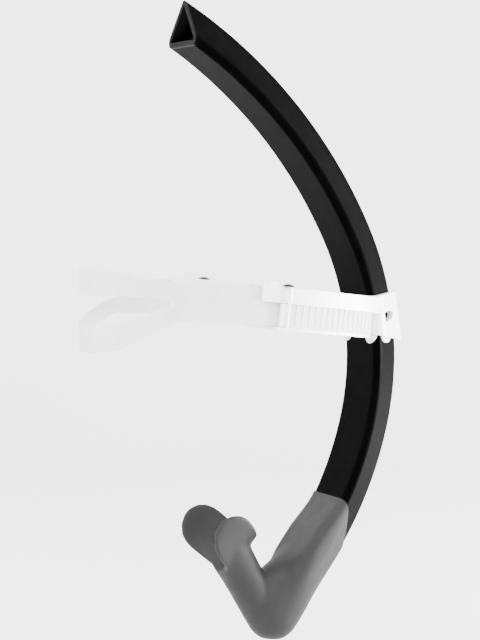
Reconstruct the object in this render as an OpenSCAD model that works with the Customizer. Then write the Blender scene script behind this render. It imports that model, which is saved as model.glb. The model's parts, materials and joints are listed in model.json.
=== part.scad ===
// Centre-mount swimmer's snorkel: a curved three-sided tube with a ridge in front and a flat
// face towards the swimmer, a silicone elbow and mouthpiece with a purge valve, and a forehead
// bracket with two arms, cam buckles and a split head strap.
// Frame: +X points forward, away from the forehead, +Z up, +Y to the swimmer's left.
// The origin is the centre of the forehead pad's rear face.

/* [Tube] */
// Half of the distance between the two rear corner centres of the section
section_half = 18.5; // [16:0.5:20]
// Distance from the rear corner centres to the ridge centre
section_depth = 20; // [17:0.5:22]
// Radius of the rounded corners
corner_r = 3.5; // [3:0.25:4]
// Wall thickness of the tube
tube_wall = 2; // [1.6:0.1:2.4]
// Arc radius of the lower stretch
lower_r = 236; // [225:1:250]
// Arc radius of the middle stretch, where the bracket slides
middle_r = 187; // [180:1:195]
// Arc radius of the upper stretch
upper_r = 321; // [300:1:340]
// Angle of the flat face where the tube's open end is cut
top_angle = 58; // [52:0.5:60]
// How much further round the ridge is cut than the flat face
top_rake = 1.8; // [0:0.2:2.4]

/* [Elbow] */
// Angle of the tube's lower end, inside the elbow
bottom_angle = -36.5; // [-37.5:0.5:-35.5]
// Thickness of the silicone sleeve around the tube
sleeve_wall = 2.2; // [1.8:0.1:2.6]
// Outer radius of the limb that rises to the mouth
limb_r = 13; // [12.5:0.25:13.5]
// Radius of the elbow's rounded corner
elbow_r = 16; // [15.8:0.1:17]
// Inner radius of the elbow's air passage
passage_r = 9.5; // [9:0.25:10]

/* [Mouthpiece] */
// Outer radius of the curved mouth shield
shield_r = 28; // [25:0.5:29]
// Height of the mouth shield
shield_h = 36; // [30:0.5:36]
// Thickness of the mouth shield
shield_wall = 3; // [2.5:0.25:3.5]

/* [Bracket] */
// Height of the collar at the tube's rear corners
collar_h = 27; // [25:0.5:28]
// Angle along the middle arc where the bracket stands
bracket_angle = 8.6; // [7:0.1:10]
// Wall thickness of the collar
collar_wall = 2.8; // [2.4:0.1:3.2]
// Thickness of the soft liner between collar and tube
liner_wall = 1.2; // [1:0.1:1.4]
// Upward tilt of the arms towards the back of the head
arm_tilt = 6.5; // [4:0.5:9]
// Radius of the arms' outer face in plan
arm_r = 168; // [160:1:176]
// Height of the arms
arm_h = 28; // [27.5:0.5:29]
// Height of the arms' middle line over the pad's, at the collar
arm_lift = 2; // [0:0.5:4]

/* [Strap] */
// Width of the strap where it runs through the buckles
strap_w = 23.5; // [22:0.5:24]
// Thickness of the strap
strap_t = 1.6; // [1.4:0.1:1.8]
// Furthest reach of the strap loop behind the forehead
loop_back = 192; // [180:1:200]

/* [Hidden] */
$fn = 48;

// Break angles between the arcs, and the middle arc's centre
lower_break = -14.3;
upper_break = 25.8;
middle_c = [-171.5, -28];
fit_gap = 0.3;

function turn(a) = [cos(a), sin(a)];
lower_c = middle_c + (middle_r - lower_r) * turn(lower_break);
upper_c = middle_c + (middle_r - upper_r) * turn(upper_break);

// Point of the flat face's corner line at angle a, pushed out by n, on the arc it belongs to
function arc_c(a) = a < lower_break ? lower_c : a > upper_break ? upper_c : middle_c;
function arc_r(a) = a < lower_break ? lower_r : a > upper_break ? upper_r : middle_r;
function spine(a, n = 0) = arc_c(a) + (arc_r(a) + n) * turn(a);

// Outline of the rounded three-sided section, as [distance outward, lateral], grown by g
corner_steps = 8;
flank = atan2(section_half, section_depth);
function corner_pts(c, from, to, r) =
    [for (i = [0:corner_steps]) let (a = from + (to - from) * i / corner_steps) c + r * turn(a)];
function section(g) = concat(
    corner_pts([section_depth, 0], -90 + flank, 90 - flank, corner_r + g),
    corner_pts([0, section_half], 90 - flank, 180, corner_r + g),
    corner_pts([0, -section_half], 180, 270 + flank, corner_r + g));

// Carries a section drawn as [radius, lateral] round an arc's centre from angle a0 to a1
module arc_sweep(c, r, a0, a1)
    translate([c[0], 0, c[1]]) rotate([90, 0, 0]) rotate([0, 0, a0])
        rotate_extrude(angle = a1 - a0, $fn = 180) translate([r, 0]) children();

// The tube's outline grown by g, or with a wall the band between that outline and one inside it
module outline(g, wall = 0)
    difference() {
        polygon(section(g));
        if (wall > 0) polygon(section(g - wall));
    }

// The outline carried through the three arcs. The arcs lap over each other a little, and the
// middle one is a hair larger, so that they join as one solid.
lap = 0.1;
hair = 0.01;
module sweep(a0, a1, g, wall = 0) {
    if (a0 < lower_break)
        arc_sweep(lower_c, lower_r, a0, min(a1, lower_break + lap)) outline(g, wall);
    if (a1 > lower_break && a0 < upper_break)
        arc_sweep(middle_c, middle_r, max(a0, lower_break - lap), min(a1, upper_break + lap))
            outline(g + hair, wall);
    if (a1 > upper_break)
        arc_sweep(upper_c, upper_r, max(a0, upper_break - lap), a1) outline(g, wall);
}

// Half space above a raked cut: through the flat face at angle a and through the ridge at a + rake
cut_size = 120;
module beyond(a, rake, shift = 0) {
    low = spine(a);
    high = spine(a + rake, section_depth);
    lean = atan2(high[1] - low[1], high[0] - low[0]);
    translate([low[0], 0, low[1]]) rotate([0, -lean, 0])
        translate([-cut_size / 2, -cut_size / 2, shift]) cube(cut_size);
}

// ---- tube ----
trim_lip = 1.4;
trim_depth = 5;
trim_wall = 0.9;
slack = 0.05;

module tube() color([0.09, 0.09, 0.1])
    difference() {
        sweep(bottom_angle, top_angle + top_rake + 1, 0, tube_wall);
        beyond(top_angle, top_rake, -trim_lip - slack);
    }

// A ring that caps the tube's open end and reaches a little way into it
module end_trim() color([0.06, 0.06, 0.065])
    difference() {
        sweep(top_angle - 3, top_angle + top_rake + 1, 0, tube_wall + trim_wall);
        beyond(top_angle, top_rake);
        difference() {
            sweep(top_angle - 4, top_angle + top_rake + 2, 1, tube_wall + slack + 1);
            beyond(top_angle, top_rake, -trim_lip);
        }
        beyond(top_angle, top_rake, -trim_lip - trim_depth - cut_size);
    }

// ---- elbow ----
elbow_p = [-56.4, -203.5];
mouth_p = [-87, -153.8];
mouth_tilt = 45;
sleeve_top = -28.9;
sleeve_rake = -3.4;
elbow_half = 17;
sleeve_slack = 0.08;
step_in = 0.2;

module ball(p, r, half) translate([p[0], 0, p[1]]) scale([1, half / r, 1]) sphere(r, $fn = 32);

// A short length of the tube's outline at the angle a, used where the elbow's limb starts
module stub(a, g) sweep(a - 0.8, a, g);

// A short ring of the limb at the mouth, square to the mouth direction
module mouth_ring(ahead, r)
    mouth_place() translate([0, 0, ahead - 1]) cylinder(r = r, h = 1, $fn = 32);

// Frame of the mouth: local Z runs into the mouth, local X runs up the shield
module mouth_place()
    translate([mouth_p[0], 0, mouth_p[1]]) rotate([0, mouth_tilt - 90, 0]) children();

module elbow() color([0.42, 0.42, 0.42])
    difference() {
        union() {
            difference() {
                sweep(bottom_angle - 1.2, sleeve_top + 4, sleeve_wall);
                beyond(sleeve_top, sleeve_rake);
            }
            hull() {
                stub(bottom_angle - 0.4, sleeve_wall - step_in);
                ball(elbow_p, elbow_r, elbow_half);
            }
            hull() {
                ball(elbow_p + [-1, 1], elbow_r - 3, elbow_half - 2);
                mouth_ring(0, limb_r);
            }
        }
        sweep(bottom_angle - slack, sleeve_top + 6, sleeve_slack);
        hull() {
            stub(bottom_angle + 0.3, -tube_wall - 1);
            ball(elbow_p, passage_r + 3, passage_r + 3);
        }
        hull() {
            ball(elbow_p, passage_r + 1, passage_r + 1);
            mouth_ring(6, passage_r);
        }
        purge_place() translate([0, 0, -3]) cylinder(r = purge_r + slack, h = 12);
        purge_place() translate([0, 0, -9]) cylinder(r = purge_r - 2, h = 8);
    }

// ---- mouthpiece ----
module bite_shield() color([0.45, 0.45, 0.45])
    difference() {
        union() {
            mouth_place() intersection() {
                translate([0, 0, shield_r]) rotate([0, 90, 0]) difference() {
                    cylinder(r = shield_r, h = shield_h + 2, center = true, $fn = 96);
                    cylinder(r = shield_r - shield_wall, h = shield_h + 4, center = true, $fn = 96);
                    translate([-shield_r * 2, -shield_r, -shield_h])
                        cube([shield_r * 2, shield_r * 2, shield_h * 2]);
                }
                rotate([90, 0, 0]) linear_extrude(shield_r * 3, center = true) shield_side();
            }
            mouth_place() for (s = [-1, 1]) bite_tab(s);
        }
        mouth_place() translate([0, 0, -1]) cylinder(r = passage_r, h = 12);
    }

// Side outline of the shield: flat in front, half round at the ends of its wings
module shield_side()
    intersection() {
        union() {
            translate([0, shield_r - shield_h / 2]) circle(r = shield_h / 2, $fn = 60);
            translate([-shield_h / 2, -1]) square([shield_h, shield_r - shield_h / 2 + 1]);
        }
        translate([-shield_h, 0]) square([shield_h * 2, shield_r]);
    }

tab_y = 15;
tab_l = 15;
tab_w = 13;
tab_t = 3;
bead = [14, 5, 3];
module bite_tab(s)
    translate([0, s * tab_y, 3]) {
        translate([-tab_w / 2, -tab_t / 2, 0]) cube([tab_w, tab_t, tab_l]);
        translate([-bead[0] / 2, -bead[1] / 2, tab_l - bead[2]]) cube(bead);
    }

// ---- purge valve, in the elbow's lowest point ----
purge_r = 7.5;
purge_in = 5.5;
module purge_place()
    translate([elbow_p[0], 0, elbow_p[1]]) rotate([0, 180, 0])
        translate([0, 0, elbow_r - purge_in]) children();

module purge_seat() color([0.3, 0.3, 0.31])
    purge_place() difference() {
        translate([0, 0, -3]) cylinder(r = purge_r, h = 2);
        difference() {
            translate([0, 0, -4]) cylinder(r = purge_r - 2.5, h = 4);
            for (a = [0, 60, 120]) rotate([0, 0, a])
                translate([-purge_r, -0.7, -5]) cube([purge_r * 2, 1.4, 6]);
            translate([0, 0, -5]) cylinder(r = 2, h = 6);
        }
    }

module purge_flap() color([0.75, 0.75, 0.76])
    purge_place() translate([0, 0, -0.7]) cylinder(r = purge_r - 1.2, h = 0.8);

module purge_cover() color([0.38, 0.38, 0.38])
    purge_place() difference() {
        translate([0, 0, -1]) cylinder(r = purge_r, h = 4.2);
        translate([0, 0, -2]) cylinder(r = purge_r - 0.8, h = 4);
        for (x = [-3, 0, 3]) translate([x - 0.7, -4.5, 0]) cube([1.4, 9, 6]);
    }

// ---- bracket ----
collar_mid = bracket_angle;
liner_gap = fit_gap;
collar_gap = fit_gap + liner_wall;
window_w = 17;
window_h = 6.4;
window_at = 0.3;

// Side outline of the collar: it grows taller towards the ridge
collar_x = [-5, 45];
collar_z = 2.3;
collar_rise = 0.06;
collar_fall = 0.19;
collar_pivot_x = 13;
module collar_side()
    rotate([90, 0, 0]) linear_extrude(100, center = true)
        polygon([for (c = [[0, -1], [1, -1], [1, 1], [0, 1]])
            let (ahead = collar_x[c[0]] - collar_pivot_x)
                [collar_x[c[0]], collar_z + c[1] * (collar_h / 2 + ahead * (c[1] > 0 ? collar_rise
                    : collar_fall))]]);

// A band around the tube, inside the collar, that follows the tube's arc
collar_reach = 9;
module collar_band(g, wall)
    intersection() {
        arc_sweep(middle_c, middle_r, collar_mid - collar_reach, collar_mid + collar_reach)
            outline(g, wall);
        collar_side();
    }

// The collar's outside: the same outline carried straight up along the tube
module collar_block()
    intersection() {
        translate([middle_c[0], 0, middle_c[1]]) rotate([0, -collar_mid, 0])
            translate([middle_r, 0, -30]) linear_extrude(60) outline(collar_gap + collar_wall);
        collar_side();
    }

// Frame on the middle of a side face: local Z points out of the face, local X to the ridge
module side_place(s)
    translate([middle_c[0], 0, middle_c[1]]) rotate([0, -collar_mid, 0])
        translate([middle_r + section_depth * window_at, s * section_half * (1 - window_at), 0])
            mirror([0, s < 0 ? 1 : 0, 0]) rotate([0, 0, -flank]) rotate([-90, 0, 0]) children();

module window(s)
    side_place(s) linear_extrude(12) polygon(concat(
        [[-window_w / 2, window_h / 2], [-window_w / 2, -window_h / 2]],
        [for (a = [-90:15:90]) [1 + (window_w / 2 - 1) * cos(a), window_h / 2 * sin(a)]]));

pad_half = 17;
pad_h = 24;
pad_t = 3;
carrier_x = [8.4, 4.9]; // at its lower and upper ends
module pad_carrier()
    rotate([90, 0, 0]) linear_extrude(2 * pad_half + 2, center = true)
        polygon([[pad_t, -pad_h / 2 - 1], [carrier_x[0], -pad_h / 2 - 1], [carrier_x[1], pad_h / 2 + 1],
            [pad_t, pad_h / 2 + 1]]);

// Arm in plan: an arc about arm_c, in a frame tilted up towards the back of the head
arm_c = [-101, 103.6];
arm_from = -49;
rail_to = -88.8;
arm_to = -91.3;
arm_wall = 2.2;
slot_t = 2.6;
rail_t = 2.2;
rail_low = 3.5;
slot_half = strap_w / 2 + 0.4;
rail_out = arm_r + slot_t + rail_t;
bar_w = 7;
pin_angle = -82.5;
pin_r = 1;
barrel_r = 2.1;
pin_dist = arm_r + slot_t + barrel_r + 0.2;
boss_r = 2.8;
boss_rise = 0.2;
step_deg = [2.7, 4.9]; // the raised step, behind the pin
step_rise = 3;
arm_deg = 180 / (PI * arm_r);

module arm_arc(from, to, r0, r1, z0, z1)
    translate([arm_c[0], arm_c[1], 0]) rotate([0, 0, to])
        rotate_extrude(angle = from - to, $fn = 360)
            translate([r0, z0]) square([r1 - r0, z1 - z0]);

module arm_frame(s)
    translate([0, 0, arm_lift]) rotate([0, arm_tilt, 0]) mirror([0, s > 0 ? 1 : 0, 0]) children();

// Frame of a buckle's pin: local Z runs up the pin, local X away from the head, -Y to the rear
module pin_place(s)
    arm_frame(s) translate([arm_c[0], arm_c[1], 0]) rotate([0, 0, pin_angle])
        translate([pin_dist, 0, 0]) children();

module arm_profile()
    polygon([[arm_r - arm_wall, -arm_h / 2], [arm_r, -arm_h / 2], [arm_r, slot_half],
        [arm_r + slot_t, slot_half], [arm_r + slot_t, rail_low], [rail_out, rail_low],
        [rail_out, arm_h / 2], [arm_r - arm_wall, arm_h / 2]]);

module arm(s) {
    foot_from = pin_angle + 2 * boss_r * arm_deg;
    foot_to = pin_angle - bar_w * arm_deg;
    arm_frame(s) {
        difference() {
            translate([arm_c[0], arm_c[1], 0]) rotate([0, 0, arm_to])
                rotate_extrude(angle = arm_from - arm_to, $fn = 360) arm_profile();
            arm_arc(rail_to, arm_to - 1, arm_r, rail_out + 1, -arm_h, arm_h);
        }
        arm_arc(foot_from, foot_to, arm_r - 0.5, pin_dist + boss_r - 0.6, -arm_h / 2 - 0.3,
            -slot_half);
        arm_arc(pin_angle - step_deg[0], pin_angle - step_deg[1], arm_r + slot_t + 0.2,
            rail_out - 0.2, arm_h / 2 - 1, arm_h / 2 + step_rise);
    }
    pin_place(s) translate([0, 0, rail_low + 0.2])
        cylinder(r = boss_r, h = arm_h / 2 + boss_rise - rail_low - 0.2);
}

module pin_bore(s)
    pin_place(s) translate([0, 0, -arm_h / 2 + 0.8]) cylinder(r = pin_r + 0.02, h = arm_h);

module bracket() color([0.93, 0.93, 0.93])
    difference() {
        union() {
            collar_block();
            pad_carrier();
            for (s = [-1, 1]) arm(s);
        }
        arc_sweep(middle_c, middle_r, collar_mid - collar_reach - 1, collar_mid + collar_reach + 1)
            outline(collar_gap);
        for (s = [-1, 1]) window(s);
        for (s = [-1, 1]) pin_bore(s);
    }

lobe_h = 5.5;
module collar_liner() color([0.86, 0.87, 0.88])
    difference() {
        union() {
            collar_band(liner_gap + liner_wall - slack, liner_wall - slack);
            for (s = [-1, 1]) liner_lobe(s);
        }
        for (s = [-1, 1]) window(s);
    }

// A lobe of the liner that shows below the collar at a rear corner
module liner_lobe(s)
    intersection() {
        arc_sweep(middle_c, middle_r, collar_mid - collar_reach - 3, collar_mid)
            outline(liner_gap + liner_wall - slack, liner_wall - slack);
        translate([15, s * (section_half - 2), collar_z - collar_h / 2 - 0.5])
            rotate([0, 90, 0]) cylinder(r = lobe_h, h = 60, center = true);
    }

module forehead_pad() color([0.8, 0.8, 0.81])
    translate([pad_t, 0, 0]) rotate([0, -90, 0]) linear_extrude(pad_t)
        hull() for (y = [-1, 1], z = [-1, 1])
            translate([z * (pad_h / 2 - 5), y * (pad_half - 5)]) circle(5);

lever_low = -slot_half + 0.3;
lever_top = rail_low - 0.3;
lever_t = 2.2;
module lever(s) color([0.95, 0.95, 0.95])
    pin_place(s) translate([0, 0, lever_low]) difference() {
        union() {
            cylinder(r = barrel_r, h = lever_top - lever_low);
            translate([-lever_t / 2, -bar_w + barrel_r, 0])
                cube([lever_t, bar_w - barrel_r, lever_top - lever_low]);
        }
        translate([0, 0, -1]) cylinder(r = pin_r + 0.05, h = lever_top - lever_low + 2);
    }

module pin(s) color([0.6, 0.6, 0.62])
    pin_place(s) translate([0, 0, -arm_h / 2 + 0.85]) cylinder(r = pin_r, h = arm_h - 0.9);

cap_r = 4.6;
cap_h = 2;
dome_r = (cap_r * cap_r + cap_h * cap_h) / (2 * cap_h);
module pin_cap(s) color([0.1, 0.1, 0.1])
    pin_place(s) translate([-1.2, 0, arm_h / 2 + boss_rise + 0.02]) rotate_extrude() intersection() {
        translate([0, cap_h - dome_r]) circle(dome_r, $fn = 96);
        square([cap_r, cap_h]);
    }

// ---- strap ----
tail_from = -51.5;
tail_z = 12;
trunk_z = 16;
trunk_more = 0.4;
tail_to = arm_to - 1.9;
trunk_x = -106.3;
crotch_x = -143;
upper_band = [21, 36.5];
lower_band = [-18, 0.5];
plan_steps = 40;
side_steps = 12;

function mix(a, b, w) = a + (b - a) * w;
function smooth(t) = let (u = min(max(t, 0), 1)) u * u * (3 - 2 * u);

// Half of the loop behind the arms in plan: a half ellipse, grown by g, from one side to the other
strap_mid = arm_r + 0.3 + strap_t / 2;
loop_x = (arm_c[0] + strap_mid * cos(tail_to)) * cos(arm_tilt);
loop_y = -arm_c[1] - strap_mid * sin(tail_to);
loop_deep = loop_back + loop_x;
function loop_edge(g) = [for (i = [0:plan_steps]) let (t = 90 - 180 * i / plan_steps)
    [loop_x - (loop_deep + g) * cos(t), (loop_y + g) * sin(t)]];
module loop_plan()
    difference() {
        polygon(concat([[trunk_x, loop_y]], loop_edge(0), [[trunk_x, -loop_y]]));
        polygon(concat([[trunk_x + 1, loop_y - strap_t - trunk_more]],
            loop_edge(-strap_t - trunk_more), [[trunk_x + 1, -loop_y + strap_t + trunk_more]]));
    }

// Side view of the loop: the trunk runs level, then parts into two bands that spread apart
module band_side(trunk, back)
    polygon(concat(
        [for (i = [0:side_steps]) side_point(i, trunk[0], back[0])],
        [for (i = [side_steps:-1:0]) side_point(i, trunk[1], back[1])]));
function side_point(i, trunk, back) =
    [mix(crotch_x, -loop_back - 1, i / side_steps), mix(trunk, back, smooth(i / side_steps))];

module loop_side() {
    rear = crotch_x - 2;
    half = strap_w / 2;
    polygon([[trunk_x, tail_z - half], [trunk_x, tail_z + half], [crotch_x, trunk_z + half],
        [rear, trunk_z + half], [rear, trunk_z - half], [crotch_x, trunk_z - half]]);
    band_side([trunk_z + 0.5, trunk_z + half], upper_band);
    band_side([trunk_z - half, trunk_z - 0.5], lower_band);
}

module tail(s)
    arm_frame(s) arm_arc(tail_from, tail_to, strap_mid - strap_t / 2, strap_mid + strap_t / 2,
        -strap_w / 2, strap_w / 2);

module strap() color([0.96, 0.96, 0.97]) {
    intersection() {
        translate([0, 0, -30]) linear_extrude(90) loop_plan();
        rotate([90, 0, 0]) linear_extrude(300, center = true) loop_side();
    }
    for (s = [-1, 1]) tail(s);
}

tube();
end_trim();
elbow();
bite_shield();
purge_seat();
purge_flap();
purge_cover();
bracket();
collar_liner();
forehead_pad();
lever(-1);  // right_lever
lever(1);  // left_lever
pin(-1);  // right_pin
pin(1);  // left_pin
pin_cap(-1);  // right_pin_cap
pin_cap(1);  // left_pin_cap
strap();
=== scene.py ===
"""A centre-mount swimmer's snorkel: the looks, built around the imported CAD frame.

Objects are in metres in the CAD frame, and shapes are worked out in millimetres.
X points forward, Z up and Y to the swimmer's left. A place given by two numbers is (x, z),
apart from the arms' centre, which is (x, y)."""

import json
import math

import bmesh
import bpy
from mathutils import Matrix, Vector


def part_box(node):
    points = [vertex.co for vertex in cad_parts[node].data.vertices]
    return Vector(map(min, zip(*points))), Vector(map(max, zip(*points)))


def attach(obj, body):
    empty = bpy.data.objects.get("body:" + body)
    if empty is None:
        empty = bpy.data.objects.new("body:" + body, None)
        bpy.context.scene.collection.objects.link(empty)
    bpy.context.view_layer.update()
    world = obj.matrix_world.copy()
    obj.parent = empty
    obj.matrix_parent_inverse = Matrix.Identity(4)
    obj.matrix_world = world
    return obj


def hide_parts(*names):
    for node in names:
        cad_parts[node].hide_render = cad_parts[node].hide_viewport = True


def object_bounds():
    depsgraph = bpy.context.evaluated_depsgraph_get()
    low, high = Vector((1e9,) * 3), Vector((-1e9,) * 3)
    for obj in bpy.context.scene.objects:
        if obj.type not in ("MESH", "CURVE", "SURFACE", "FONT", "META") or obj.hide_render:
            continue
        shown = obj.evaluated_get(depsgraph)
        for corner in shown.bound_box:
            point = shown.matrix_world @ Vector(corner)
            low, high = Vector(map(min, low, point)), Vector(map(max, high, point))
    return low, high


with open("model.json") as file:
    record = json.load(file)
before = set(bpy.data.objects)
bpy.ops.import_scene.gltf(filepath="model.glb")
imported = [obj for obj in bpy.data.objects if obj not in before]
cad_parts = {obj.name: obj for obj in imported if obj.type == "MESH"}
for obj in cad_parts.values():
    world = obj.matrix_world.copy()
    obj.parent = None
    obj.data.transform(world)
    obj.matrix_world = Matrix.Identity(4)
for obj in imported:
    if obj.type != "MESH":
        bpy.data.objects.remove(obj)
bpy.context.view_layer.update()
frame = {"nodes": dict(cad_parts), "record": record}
MM = 0.001

# ---- sizes and places as in part.scad, in millimetres and degrees ----
SECTION_HALF, SECTION_DEPTH, CORNER_R = 18.5, 20.0, 3.5
LOWER_R, MIDDLE_R = 236.0, 187.0
LOWER_BREAK = -14.3
MIDDLE_C = (-171.5, -28.0)
TUBE_END = -36.5
ELBOW_P = (-56.4, -203.5)
MOUTH_P = (-87.0, -153.8)
MOUTH_TILT = 45.0
PASSAGE_R = 9.5
SHIELD_R, SHIELD_H, SHIELD_WALL = 28.0, 36.0, 3.0
# The right arm in plan before its tilt: centre, outer radius, tilt, lift, and the angles where
# it ends and where the strap's tail begins
ARM_C, ARM_R, ARM_TILT, ARM_LIFT = (-101.0, 103.6), 168.0, 6.5, 2.0
ARM_TO, TAIL_FROM = -91.3, -51.5
STRAP_W, STRAP_T = 23.5, 1.6
# The loop's reach, the height it levels out at, and where and between which heights it splits
LOOP_BACK, TRUNK_Z, CROTCH_X = 192.0, 16.0, -143.0
UPPER_BAND, LOWER_BAND = (21.0, 36.5), (-18.0, 0.5)


def turn(degrees):
    a = math.radians(degrees)
    return math.cos(a), math.sin(a)


def mix(a, b, w):
    return a + (b - a) * w


def smooth(t):
    t = min(max(t, 0.0), 1.0)
    return t * t * (3 - 2 * t)


def arc_centre(radius, angle):
    c, s = turn(angle)
    return (
        MIDDLE_C[0] + (MIDDLE_R - radius) * c,
        MIDDLE_C[1] + (MIDDLE_R - radius) * s,
    )


LOWER_C = arc_centre(LOWER_R, LOWER_BREAK)


def low_spine(angle, out=0.0):
    """(x, z) on the lower arc, moved outwards."""
    c, s = turn(angle)
    return LOWER_C[0] + (LOWER_R + out) * c, LOWER_C[1] + (LOWER_R + out) * s


def polar_section(theta, grow):
    """Distance from the section's middle to its rounded outline, at an angle from the ridge."""
    mid = SECTION_DEPTH / 3
    corners = ((SECTION_DEPTH, 0.0), (0.0, SECTION_HALF), (0.0, -SECTION_HALF))
    direction = Vector((math.cos(theta), math.sin(theta)))
    r = CORNER_R + grow
    reach = 0.0
    # The outline is the furthest of three circles and three straight sides, pushed out by r
    for i, corner in enumerate(corners):
        a = Vector(corner) - Vector((mid, 0))
        b = Vector(corners[(i + 1) % 3]) - Vector((mid, 0))
        along = a.dot(direction)
        across = a.length_squared - along * along
        if across < r * r:
            reach = max(reach, along + math.sqrt(r * r - across))
        side = (b - a).normalized()
        normal = Vector((side.y, -side.x))
        if normal.dot(a) < 0:
            normal = -normal
        face = normal.dot(direction)
        if face > 1e-6:
            t = (normal.dot(a) + r) / face
            where = (direction * t - a - normal * r).dot(side)
            if 0 <= where <= (b - a).length:
                reach = max(reach, t)
    return reach


# ---- mesh helpers ----
def new_object(name, mesh):
    obj = bpy.data.objects.new(name, mesh)
    bpy.context.scene.collection.objects.link(obj)
    return obj


def mesh_from(name, points, faces):
    mesh = bpy.data.meshes.new(name)
    mesh.from_pydata([tuple(p) for p in points], [], faces)
    bm = bmesh.new()
    bm.from_mesh(mesh)
    bmesh.ops.recalc_face_normals(bm, faces=bm.faces)
    bm.to_mesh(mesh)
    bm.free()
    return new_object(name, mesh)


def loft(name, rings):
    """A closed body through rings of points, given in millimetres."""
    n = len(rings[0])
    points = [Vector(p) * MM for ring in rings for p in ring]
    faces = [
        (i * n + j, i * n + (j + 1) % n, (i + 1) * n + (j + 1) % n, (i + 1) * n + j)
        for i in range(len(rings) - 1)
        for j in range(n)
    ]
    last = (len(rings) - 1) * n
    faces += [tuple(range(n))[::-1], tuple(range(last, last + n))]
    return mesh_from(name, points, faces)


def apply_modifiers(obj):
    graph = bpy.context.evaluated_depsgraph_get()
    mesh = bpy.data.meshes.new_from_object(obj.evaluated_get(graph))
    obj.modifiers.clear()
    obj.data = mesh
    return obj


def modifier(obj, kind, **values):
    m = obj.modifiers.new(kind.lower(), kind)
    for key, value in values.items():
        setattr(m, key, value)
    return m


def join(objects, name):
    bm = bmesh.new()
    for obj in objects:
        bm.from_mesh(obj.data)
        bpy.data.objects.remove(obj)
    mesh = bpy.data.meshes.new(name)
    bm.to_mesh(mesh)
    bm.free()
    return new_object(name, mesh)


def cut(obj, *cutters):
    for cutter in cutters:
        modifier(obj, "BOOLEAN", operation="DIFFERENCE", object=cutter, solver="EXACT")
        apply_modifiers(obj)
        bpy.data.objects.remove(cutter)
    return obj


def shade(obj, sharp=40):
    obj.data.shade_smooth()
    obj.data.set_sharp_from_angle(angle=math.radians(sharp))
    modifier(obj, "WEIGHTED_NORMAL", keep_sharp=True)
    return obj


# ---- materials ----
class Nodes:
    """A procedural material on a Principled shader, in object coordinates."""

    def __init__(self, name, rough, **sockets):
        self.mat = bpy.data.materials.new(name)
        self.mat.use_nodes = True
        self.tree = self.mat.node_tree
        self.shader = self.tree.nodes["Principled BSDF"]
        self.place = self.tree.nodes.new("ShaderNodeTexCoord").outputs["Object"]
        self.shader.inputs["Roughness"].default_value = rough
        for key, value in sockets.items():
            self.shader.inputs[key.replace("_", " ")].default_value = value

    def noise(self, scale, detail=3.0, stretch=None):
        node = self.tree.nodes.new("ShaderNodeTexNoise")
        node.inputs["Scale"].default_value = scale
        node.inputs["Detail"].default_value = detail
        place = self.place
        if stretch:
            mapping = self.tree.nodes.new("ShaderNodeMapping")
            mapping.inputs["Scale"].default_value = stretch
            self.tree.links.new(place, mapping.inputs["Vector"])
            place = mapping.outputs["Vector"]
        self.tree.links.new(place, node.inputs["Vector"])
        return node.outputs["Fac"]

    def ramp(self, value, stops):
        node = self.tree.nodes.new("ShaderNodeValToRGB")
        ramp = node.color_ramp
        while len(ramp.elements) < len(stops):
            ramp.elements.new(0.5)
        for element, (at, colour) in zip(ramp.elements, stops):
            element.position = at
            element.color = (*colour, 1)
        self.tree.links.new(value, node.inputs["Fac"])
        return node.outputs["Color"]

    def colour(self, value, dark, light):
        out = self.ramp(value, [(0.35, dark), (0.65, light)])
        self.tree.links.new(out, self.shader.inputs["Base Color"])
        return self

    def rough(self, value, low, high):
        out = self.ramp(value, [(0.3, (low,) * 3), (0.7, (high,) * 3)])
        self.tree.links.new(out, self.shader.inputs["Roughness"])
        return self

    def bump(self, *layers):
        """Layers of (value, height in metres)."""
        normal = None
        for value, height in layers:
            node = self.tree.nodes.new("ShaderNodeBump")
            node.inputs["Distance"].default_value = height
            node.inputs["Strength"].default_value = 1.0
            self.tree.links.new(value, node.inputs["Height"])
            if normal:
                self.tree.links.new(normal, node.inputs["Normal"])
            normal = node.outputs["Normal"]
        self.tree.links.new(normal, self.shader.inputs["Normal"])
        return self


def plastic(name, dark, light, rough, shine=0.5, grain=0.00002):
    m = Nodes(name, rough, Specular_IOR_Level=shine)
    m.colour(m.noise(60, 4), dark, light)
    m.rough(m.noise(900, 2), rough - 0.05, rough + 0.06)
    m.bump((m.noise(2600, 2), grain), (m.noise(90, 2), grain * 2))
    return m.mat


def silicone(name, dark, light, rough, clear=0.0):
    m = Nodes(
        name,
        rough,
        Subsurface_Weight=clear,
        Subsurface_Scale=0.003,
        Subsurface_Radius=(1.0, 1.0, 1.0),
        Specular_IOR_Level=0.12,
    )
    m.colour(m.noise(45, 3), dark, light)
    m.rough(m.noise(160, 3), rough - 0.04, rough + 0.04)
    m.bump((m.noise(3200, 2), 0.00002), (m.noise(120, 2), 0.00003))
    return m.mat


def grey(value):
    return (value, value, value)


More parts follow.
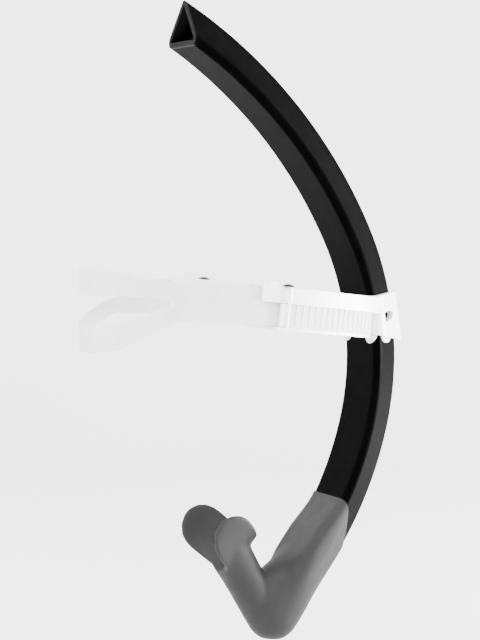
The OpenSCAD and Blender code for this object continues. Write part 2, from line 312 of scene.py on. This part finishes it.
def make_materials():
    steel = Nodes("pin_steel", 0.3, Metallic=1.0)
    steel.colour(steel.noise(400, 2, (1, 1, 0.05)), grey(0.45), grey(0.62))
    steel.bump((steel.noise(1800, 2, (1, 1, 0.05)), 0.00001))
    return {
        "tube_plastic": plastic(
            "tube_plastic", (0.0004, 0.0004, 0.0005), (0.0008, 0.0008, 0.0009), 0.34, 0.004
        ),
        "trim_plastic": plastic("trim_plastic", grey(0.0006), grey(0.0012), 0.45, 0.03),
        "grey_silicone": silicone("grey_silicone", grey(0.0140), grey(0.0158), 0.6),
        "valve_plastic": plastic("valve_plastic", grey(0.02), grey(0.03), 0.45, 0.4),
        "valve_silicone": silicone(
            "valve_silicone", grey(0.45), grey(0.55), 0.4, 0.2
        ),
        "white_plastic": plastic("white_plastic", grey(0.74), grey(0.8), 0.35),
        "soft_liner": silicone(
            "soft_liner", (0.68, 0.7, 0.72), (0.76, 0.78, 0.8), 0.35, 0.3
        ),
        "pin_steel": steel.mat,
        "cap_plastic": plastic("cap_plastic", grey(0.008), grey(0.012), 0.22),
        "white_silicone": silicone(
            "white_silicone", grey(0.6), grey(0.66), 0.45, 0.12
        ),
    }


MATERIALS = make_materials()
NODE_SLOTS = {s["node"]: s["material_slot"] for s in frame["record"]["subparts"]}


def finish_piece(obj, slot, body, *nodes):
    obj.data.materials.clear()
    obj.data.materials.append(MATERIALS[slot])
    if nodes:
        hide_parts(*nodes)
    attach(obj, body)
    return obj


# Width in millimetres of the rounding on the edges of moulded CAD nodes
EDGE_MM = {
    "tube": 0.35,
    "end_trim": 0.4,
    "bracket": 0.45,
    "right_lever": 0.4,
    "left_lever": 0.4,
    "purge_cover": 0.3,
    "collar_liner": 0.3,
}


def dress_cad_nodes():
    for name, obj in frame["nodes"].items():
        obj.data.materials.clear()
        obj.data.materials.append(MATERIALS[NODE_SLOTS[name]])
        for polygon in obj.data.polygons:
            polygon.material_index = 0
        if name in EDGE_MM:
            modifier(
                obj,
                "BEVEL",
                width=EDGE_MM[name] * MM,
                segments=2,
                limit_method="ANGLE",
                angle_limit=math.radians(40),
            )
        shade(obj, 32)


# ---- silicone mouthpiece: sleeve, elbow, limb, shield and bite tabs in one moulding ----
# Points in every ring of a lofted body
RING = 72
# The sleeve: wall over the tube, angle of its edge on the flat face, and the edge's fall to
# the ridge
SLEEVE_WALL = 1.3
SLEEVE_EDGE = -27.4
SLEEVE_FALL = 26.0
# The sleeve's flat face stands off in two soft rises, each (height, start, length) down from
# its edge, and comes back after (start, length)
SWELL_RISES = ((4.2, 0.0, 34.0), (5.0, 40.0, 38.0))
SWELL_FADE = (76.0, 40.0)
# Cosine, from the ridge's opposite, over which a corner eases into the flat face
FLAT_FACE_COS = 0.34
# The elbow's heel
HEEL_P = (-55.4, -202.2)
HEEL_R = 18.0
# The limb that rises to the mouth
LIMB_R = 13.6
LIMB_FOOT = (-59.0, -205.4)
LIMB_END = (-87.5, -157.5)
# The flare from the limb to the shield: its length, how far it runs past the shield's deepest
# point and below it, and its half sizes there, up and across
FLARE_RUN = 32.0
FLARE_PAST, FLARE_DROP = 10.0, 3.0
FLARE_HALF = (15.4, 22.5)
# The ball that fills the groove between the limbs, and its width against its height
CROTCH = (-59.5, -187.0)
CROTCH_R = 13.4
CROTCH_WIDE = 1.1
# The shield: how deep it curves, how far it stands above the CAD shield's middle, how much its
# lower and upper edges are drawn in, and the dip under the nose (depth, width)
SHIELD_DEPTH = 36.0
SHIELD_LIFT = 2.0
SHIELD_TRIM = (0.8, 2.5)
NOSE_DIP = (2.5, 9.0)
# A bite tab: its distance from the middle, its root, its lower and upper ends, and its outline
# as (length, half thickness), with a bead at the end
TAB_SIDE, TAB_ROOT = 15.0, 3.0
TAB_ENDS = (-4.5, 6.5)
TAB_PROFILE = [(0, 1.9), (3, 1.6), (8, 1.5), (10, 2.4), (12, 2.6), (13.5, 1.4)]


def section_ring(centre, out, shape, inward=0.0, facing=FLAT_FACE_COS):
    """Points round a centre (x, z): shape gives the distance at each angle from the ridge.
    The flat face moves inward as a block where facing is small, and as a bulge where it is 1."""
    ring = []
    for k in range(RING):
        theta = 2 * math.pi * k / RING
        n, y = shape(theta) * math.cos(theta), shape(theta) * math.sin(theta)
        n -= inward * smooth(-math.cos(theta) / facing)
        ring.append((centre[0] + n * out[0], y, centre[1] + n * out[1]))
    return ring


def swell(run):
    """How far the sleeve's flat face stands off, run millimetres below the sleeve's edge."""
    rise = sum(height * smooth((run - start) / length) for height, start, length in SWELL_RISES)
    start, length = SWELL_FADE
    return rise * (1 - smooth((run - start) / length))


def lower_limb_rings(grow, from_angle, heel):
    """Down the sleeve, straight on to the elbow's heel and round it; heel is its radius."""
    middle = SECTION_DEPTH / 3
    rings = []

    def add(centre, out, run, blend):
        rings.append(
            section_ring(
                centre,
                out,
                lambda t: mix(polar_section(t, grow), heel, blend),
                swell(run),
                mix(FLAT_FACE_COS, 1.0, min(1.0, blend * 2)),
            )
        )

    angle = from_angle
    while angle > TUBE_END + 0.1:
        run = math.radians(SLEEVE_EDGE - angle) * LOWER_R
        add(low_spine(angle, middle), turn(angle), max(run, 0.0), 0.0)
        angle -= 0.75
    start, out = Vector(low_spine(TUBE_END, middle)), turn(TUBE_END)
    end = Vector(HEEL_P)
    begun = math.radians(SLEEVE_EDGE - TUBE_END) * LOWER_R
    steps = 20
    for i in range(steps + 1):
        t = i / steps
        run = begun + (end - start).length * t
        add(start.lerp(end, t), out, run, smooth(t * 1.1))
    down = (end - start).normalized()
    for i in range(1, 9):
        a = math.radians(i * 11)
        at = end + down * heel * math.sin(a)
        rings.append(section_ring(at, out, lambda _: heel * math.cos(a)))
    return rings


def limb_rings(stations):
    """Rings at stations of (centre, axis, half size in the XZ plane, half size in Y)."""
    rings = []
    for centre, axis, half, half_y in stations:
        axis = axis.normalized()
        ring = []
        for k in range(RING):
            a = 2 * math.pi * k / RING
            n = half * math.cos(a)
            ring.append((centre.x + axis.y * n, half_y * math.sin(a), centre.y - axis.x * n))
        rings.append(ring)
    return rings


def into_mouth():
    return Vector((-math.cos(math.radians(MOUTH_TILT)), math.sin(math.radians(MOUTH_TILT))))


def shield_centre():
    """The shield's deepest point: its wings still end where the CAD shield's do."""
    mouth = into_mouth()
    lift = Vector((mouth.y, -mouth.x)) * SHIELD_LIFT
    return Vector(MOUTH_P) - mouth * (SHIELD_DEPTH - 2 - SHIELD_R) + lift


def mouth_limb():
    """The round limb from the heel to where the flare begins."""
    foot, end = Vector(LIMB_FOOT), Vector(LIMB_END)
    axis = (end - foot).normalized()
    end -= axis * (FLARE_RUN - 0.5)
    steps = 12
    return limb_rings(
        [(foot.lerp(end, i / steps), axis, LIMB_R, LIMB_R) for i in range(steps + 1)]
    )


def flare():
    """From the round limb out to the back of the shield's wings."""
    foot, end = Vector(LIMB_FOOT), Vector(LIMB_END)
    axis, mouth = (end - foot).normalized(), into_mouth()
    start = end - axis * FLARE_RUN
    up = Vector((mouth.y, -mouth.x))
    finish = shield_centre() + mouth * FLARE_PAST - up * FLARE_DROP
    steps = 14
    stations = []
    for i in range(steps + 1):
        t = i / steps
        wide = t**2.4
        stations.append(
            (
                start.lerp(finish, t),
                axis.lerp(mouth, smooth(t)),
                mix(LIMB_R, FLARE_HALF[0], wide),
                mix(LIMB_R, FLARE_HALF[1], wide),
            )
        )
    return limb_rings(stations)


def crotch():
    """A ball that fills the groove where the two limbs part."""
    turns = [math.radians(a) for a in range(-84, 85, 12)]
    centre = Vector(CROTCH)
    return limb_rings(
        [
            (
                centre + Vector((0, CROTCH_R * math.sin(a))),
                Vector((0, 1)),
                CROTCH_R * math.cos(a),
                CROTCH_R * math.cos(a) * CROTCH_WIDE,
            )
            for a in turns
        ]
    )


def mouth_frame():
    """Local Z runs into the mouth and local X up the shield, from the shield's deepest point."""
    at = shield_centre()
    return Matrix.Translation((at.x * MM, 0, at.y * MM)) @ Matrix.Rotation(
        math.radians(MOUTH_TILT - 90), 4, "Y"
    )


def place_at_mouth(obj):
    obj.data.transform(mouth_frame())
    return obj


def shield_sheet():
    """A deep curved sheet with round wings, low at the top where the nose is."""
    across, up = 40, 12
    half_h = SHIELD_H / 2
    points, faces = [], []
    for i in range(across + 1):
        a = math.radians(mix(-89.6, 89.6, i / across))
        y, z = SHIELD_R * math.sin(a), SHIELD_DEPTH * (1 - math.cos(a))
        beyond = max(0.0, z - (SHIELD_DEPTH - half_h))
        half = math.sqrt(max(half_h**2 - beyond**2, 1.0))
        dip = NOSE_DIP[0] * math.exp(-((y / NOSE_DIP[1]) ** 2))
        share = half / half_h
        low, high = -half + SHIELD_TRIM[0] * share, half - SHIELD_TRIM[1] * share - dip
        for j in range(up + 1):
            x = mix(low, high, j / up)
            points.append(Vector((x, y, z)) * MM)
    for i in range(across):
        for j in range(up):
            k = i * (up + 1) + j
            faces.append((k, k + up + 1, k + up + 2, k + 1))
    sheet = mesh_from("shield", points, faces)
    modifier(sheet, "SOLIDIFY", thickness=SHIELD_WALL * MM, offset=0.0)
    return place_at_mouth(apply_modifiers(sheet))


def mouth_cavity():
    """The hollow that the shield wraps round, which the flare must not fill."""
    rings = []
    for x in (-40, 40):
        rings.append(
            [
                (
                    x,
                    (SHIELD_R - 1.5) * math.sin(2 * math.pi * k / RING),
                    SHIELD_DEPTH - (SHIELD_DEPTH - 1.5) * math.cos(2 * math.pi * k / RING),
                )
                for k in range(RING)
            ]
        )
    return place_at_mouth(loft("cavity", rings))


def bite_tab(side):
    """A bite tab: a tongue with a thick bead along its end."""
    rings = []
    for i in range(9):
        x = mix(*TAB_ENDS, i / 8)
        round_off = math.sqrt(max(1 - ((x - 1) / 6) ** 4, 0.05))
        outline = [(z * round_off, h * round_off) for z, h in TAB_PROFILE]
        y = side * TAB_SIDE
        ring = [(x, y + h, TAB_ROOT + z) for z, h in outline]
        ring += [(x, y - h, TAB_ROOT + z) for z, h in reversed(outline)]
        rings.append(ring)
    tab = loft("tab", rings)
    modifier(tab, "SUBSURF", levels=2, render_levels=2)
    return place_at_mouth(apply_modifiers(tab))


def sleeve_cutter():
    """Everything above the sleeve's edge, which falls away from the flat face to the ridge."""
    low, high = -14.0, 34.0
    line = []
    for i in range(25):
        n = mix(low, high, i / 24)
        share = max(0.0, (n + CORNER_R) / (SECTION_DEPTH + 2 * CORNER_R))
        angle = SLEEVE_EDGE - math.degrees(SLEEVE_FALL * share**1.4 / LOWER_R)
        line.append(low_spine(angle, n))
    line += [low_spine(-8, high + 20), low_spine(-8, low - 10)]
    return loft("sleeve_cutter", [[(x, y, z) for x, z in line] for y in (-40, 40)])


def fuse(obj, voxel, rounds):
    modifier(obj, "REMESH", mode="VOXEL", voxel_size=voxel * MM)
    modifier(obj, "SMOOTH", factor=0.5, iterations=rounds)
    return apply_modifiers(obj)


def purge_hole():
    """Room for the CAD purge valve, through the elbow's lowest wall."""
    low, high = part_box("purge_cover")
    radius = (high.x - low.x) / 2 / MM
    rings = limb_rings(
        [
            (Vector((ELBOW_P[0], z)), Vector((0, -1)), radius + 0.1, radius + 0.1)
            for z in (high.z / MM + 4, low.z / MM - 6)
        ]
    )
    return loft("purge_hole", rings)


def mouth_passage():
    """The air way from the limb into the mouth."""
    foot, end, mouth = Vector(LIMB_FOOT), Vector(LIMB_END), into_mouth()
    stations = [(foot.lerp(end, t), end - foot) for t in (0.3, 0.75)]
    stations += [(shield_centre() + mouth * z, mouth) for z in (1, 8)]
    rings = limb_rings([(at, axis, PASSAGE_R, PASSAGE_R) for at, axis in stations])
    return loft("mouth_passage", rings)


def tube_hole():
    """The tube's own outline with a small gap, for the sleeve's inside."""
    middle = SECTION_DEPTH / 3
    angles = [TUBE_END + 0.6 * i for i in range(30)]
    rings = [
        section_ring(low_spine(a, middle), turn(a), lambda t: polar_section(t, 0.1))
        for a in angles
    ]
    return loft("tube_hole", rings)


def make_mouthpiece():
    body = join(
        [
            loft("sleeve", lower_limb_rings(SLEEVE_WALL, -22, HEEL_R)),
            loft("limb", mouth_limb()),
            loft("flare", flare()),
            loft("crotch", crotch()),
            shield_sheet(),
        ],
        "body",
    )
    fuse(body, 1.0, 14)
    cut(body, mouth_cavity(), mouth_passage())
    body = join([body, bite_tab(-1), bite_tab(1)], "silicone_mouthpiece")
    fuse(body, 0.8, 8)
    cut(body, sleeve_cutter(), tube_hole(), purge_hole())
    shade(body, 55)
    return finish_piece(body, "grey_silicone", "tube", "elbow", "bite_shield")


# ---- forehead pad ----
# How square the pad's outline is: 1 is an ellipse, 0 a rectangle
PAD_SQUARENESS = 0.42
# How much the pad's sides pull in between its corners
PAD_DRAWN_IN = 0.03
# Share of the outline, and share of the thickness, from the front rim to the rear crown
PAD_PROFILE = [
    (0.93, 1.0),
    (0.985, 0.88),
    (1.0, 0.66),
    (0.985, 0.42),
    (0.94, 0.27),
    (0.9, 0.3),
    (0.86, 0.22),
    (0.7, 0.1),
    (0.45, 0.03),
    (0.2, 0.0),
]


def make_forehead_pad():
    """A soft pad: fuller in its middle, drawn in between its corners, with a moulded rim."""
    low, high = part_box("forehead_pad")
    half_y, half_z = (high.y - low.y) / 2 / MM, (high.z - low.z) / 2 / MM
    thick = (high.x - low.x) / MM
    rings = []
    for share, height in PAD_PROFILE:
        ring = []
        for k in range(RING):
            a = 2 * math.pi * k / RING
            c, s = math.cos(a), math.sin(a)
            y = half_y * math.copysign(abs(c) ** PAD_SQUARENESS, c)
            z = half_z * math.copysign(abs(s) ** PAD_SQUARENESS, s)
            drawn = 1 - PAD_DRAWN_IN * math.cos(2 * a) ** 2
            ring.append((height * thick, y * share * drawn, z * share * drawn))
        rings.append(ring)
    pad = loft("brow_pad", rings)
    pad.data.transform(Matrix.Translation((low.x, (low.y + high.y) / 2, (low.z + high.z) / 2)))
    modifier(pad, "SUBSURF", levels=1, render_levels=1)
    apply_modifiers(pad)
    shade(pad, 60)
    finish_piece(pad, "soft_liner", "bracket", "forehead_pad")


# ---- strap ----
# Gap between the arm and the strap, the strap's thickness as seen, and half of the slit where
# the bands part
STRAP_GAP, STRAP_SEEN_T, SLIT_HALF = 0.3, 1.7, 0.9
# The tail's ribs: spacing, last angle, half length, half width and height
RIB_PITCH, RIB_LAST = 5.6, -80.5
RIB_LONG, RIB_WIDE, RIB_HIGH = 10.6, 0.95, 0.55


def strap_stations():
    """From the tail's front round the back: (point, outward, up, split) in millimetres."""
    tilt = math.radians(ARM_TILT)
    up_arm = Vector((math.sin(tilt), 0, math.cos(tilt)))
    mid = ARM_R + STRAP_GAP + STRAP_T / 2
    stations = []
    steps = 60
    for i in range(steps + 1):
        c, s = turn(mix(TAIL_FROM, ARM_TO, i / steps))
        x, y = ARM_C[0] + mid * c, ARM_C[1] + mid * s
        point = Vector((x * math.cos(tilt), y, -x * math.sin(tilt) + ARM_LIFT))
        stations.append((point, Vector((c, s, 0)), up_arm, 0.0))
    leave = stations[-1][0]
    deep = LOOP_BACK - STRAP_T / 2 + leave.x
    steps = 44
    for i in range(1, steps + 1):
        a = math.radians(90 * i / steps)
        x = leave.x - deep * math.sin(a)
        y = leave.y * math.cos(a)
        level = smooth(i / (steps * 0.45))
        point = Vector((x, y, mix(leave.z, TRUNK_Z, level)))
        outward = Vector((-math.sin(a) * abs(leave.y), -math.cos(a) * deep, 0)).normalized()
        up = up_arm.lerp(Vector((0, 0, 1)), level).normalized()
        split = smooth((x - CROTCH_X) / (-LOOP_BACK - 1 - CROTCH_X)) if x < CROTCH_X else 0.0
        stations.append((point, outward, up, split))
    return stations


def band_heights(split):
    """Heights of the strap's rows over its middle line, low to high: four rows in each band."""
    half = STRAP_W / 2
    closed = ((-half, -SLIT_HALF), (SLIT_HALF, half))
    rows = 4
    heights = []
    for whole, band in zip(closed, (LOWER_BAND, UPPER_BAND)):
        low, high = (mix(w, b - TRUNK_Z, split) for w, b in zip(whole, band))
        heights += [mix(low, high, i / (rows - 1)) for i in range(rows)]
    return heights


def make_strap():
    right = strap_stations()
    mirror = [
        (Vector((p.x, -p.y, p.z)), Vector((o.x, -o.y, 0)), u, w)
        for p, o, u, w in right
    ]
    loop = right + mirror[-2::-1]
    points, faces = [], []
    for point, _, up, split in loop:
        points += [(point + up * h) * MM for h in band_heights(split)]
    rows = len(band_heights(0))
    for i in range(len(loop) - 1):
        open_slit = loop[i][3] > 0.004 and loop[i + 1][3] > 0.004
        for j in range(rows - 1):
            if open_slit and j == rows // 2 - 1:
                continue
            k = i * rows + j
            faces.append((k, k + rows, k + rows + 1, k + 1))
    strap = mesh_from("strap_band", points, faces)
    modifier(strap, "SOLIDIFY", thickness=STRAP_SEEN_T * MM, offset=0.0, use_even_offset=True)
    bevel = modifier(strap, "BEVEL", width=0.35 * MM, segments=2, limit_method="ANGLE")
    bevel.angle_limit = math.radians(50)
    modifier(strap, "SUBSURF", levels=1, render_levels=1)
    apply_modifiers(strap)
    ribs = [rib(s, side) for side in (-1, 1) for s in rib_places()]
    strap = join([strap, *ribs], "head_strap")
    shade(strap, 50)
    return finish_piece(strap, "white_silicone", "bracket", "strap")


def rib_places():
    """Angles along the arm at which the tail's ribs stand."""
    step = math.degrees(RIB_PITCH / ARM_R)
    angle, places = TAIL_FROM - 1.0, []
    while angle > RIB_LAST:
        places.append(angle)
        angle -= step
    return places


def rib(angle, side):
    """One low rounded rib across the tail's outer face."""
    tilt = math.radians(ARM_TILT)
    up = Vector((math.sin(tilt), 0, math.cos(tilt)))
    c, s = turn(angle)
    base = ARM_R + STRAP_GAP + STRAP_T - 0.1
    x, y = ARM_C[0] + base * c, ARM_C[1] + base * s
    point = Vector((x * math.cos(tilt), y, -x * math.sin(tilt) + ARM_LIFT))
    outward, along = Vector((c, s, 0)), Vector((-s, c, 0))
    rings = []
    # The rib's height falls off over its last stretch at either end
    ends = [(RIB_LONG, 0.25), (RIB_LONG - 0.4, 0.7), (RIB_LONG - 1.2, 1.0)]
    for h, size in [(-h, size) for h, size in ends] + ends[::-1]:
        ring = []
        for k in range(9):
            a = math.pi * k / 8
            offset = along * (RIB_WIDE * math.cos(a)) + outward * (RIB_HIGH * math.sin(a) * size)
            p = point + up * h + offset
            ring.append((p.x, p.y * -side, p.z))
        rings.append(ring)
    return loft("rib", rings)


# ---- camera, floor and lights ----
TARGET = Vector((-0.0787, 0.0023, 0.0))
TO_CAMERA = Vector((-0.4218, -0.9046, 0.0610)).normalized()
CAMERA_DISTANCE = 1.35


def make_camera():
    data = bpy.data.cameras.new("camera")
    data.sensor_fit = "AUTO"
    data.sensor_width = 24.0
    data.lens = 75.0
    data.clip_end = 20
    camera = new_object("camera", data)
    camera.location = TARGET + TO_CAMERA * CAMERA_DISTANCE
    camera.rotation_euler = TO_CAMERA.to_track_quat("Z", "Y").to_euler()
    bpy.context.scene.camera = camera


# The floor is clear of the mouthpiece when the tube is slid all the way down
FLOOR_DROP = 0.055
# The floor runs back, then bends up into a wall: metres
FLOOR_RUN, FLOOR_BEND, WALL_TOP, FLOOR_HALF = 2.4, 1.2, 3.0, 6.0


def make_floor():
    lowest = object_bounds()[0].z
    flat, steps = FLOOR_RUN - FLOOR_BEND, 16
    line = [(-FLOOR_RUN * 2, 0.0), (flat, 0.0)]
    for i in range(1, steps + 1):
        a = math.radians(90 * i / steps)
        line.append((flat + FLOOR_BEND * math.sin(a), FLOOR_BEND - FLOOR_BEND * math.cos(a)))
    line.append((FLOOR_RUN, WALL_TOP))
    away = -TO_CAMERA.xy.normalized()
    side = Vector((-away.y, away.x))
    points = []
    for along, z in line:
        for across in (-FLOOR_HALF, FLOOR_HALF):
            p = away * along + side * across
            points.append((p.x, p.y, lowest - FLOOR_DROP + z))
    faces = [(2 * i, 2 * i + 1, 2 * i + 3, 2 * i + 2) for i in range(len(line) - 1)]
    floor = mesh_from("floor", points, faces)
    floor.data.shade_smooth()
    m = Nodes("floor_paint", 0.9)
    m.colour(m.noise(3, 2), grey(0.93), grey(0.95))
    floor.data.materials.append(m.mat)


def area_light(name, place, aim, size, power):
    data = bpy.data.lights.new(name, "AREA")
    data.shape = "RECTANGLE"
    data.size, data.size_y = size
    data.energy = power
    light = new_object(name, data)
    light.location = place
    light.rotation_euler = (Vector(place) - Vector(aim)).to_track_quat("Z", "Y").to_euler()


def make_lights():
    world = bpy.data.worlds.new("studio")
    world.use_nodes = True
    background = world.node_tree.nodes["Background"]
    background.inputs["Color"].default_value = (1, 1, 1, 1)
    background.inputs["Strength"].default_value = 2.9
    bpy.context.scene.world = world
    middle = (-0.05, 0, 0)
    area_light("key", (-0.9, -1.2, 1.5), middle, (1.2, 1.2), 100)
    area_light("low_side", (1.3, -0.35, -0.08), (0.0, 0.0, -0.08), (0.9, 0.2), 120)
    area_light("fill", (-1.5, 0.4, 0.6), middle, (1.0, 1.0), 30)


make_camera()
make_lights()
dress_cad_nodes()
make_mouthpiece()
make_forehead_pad()
make_strap()
make_floor()
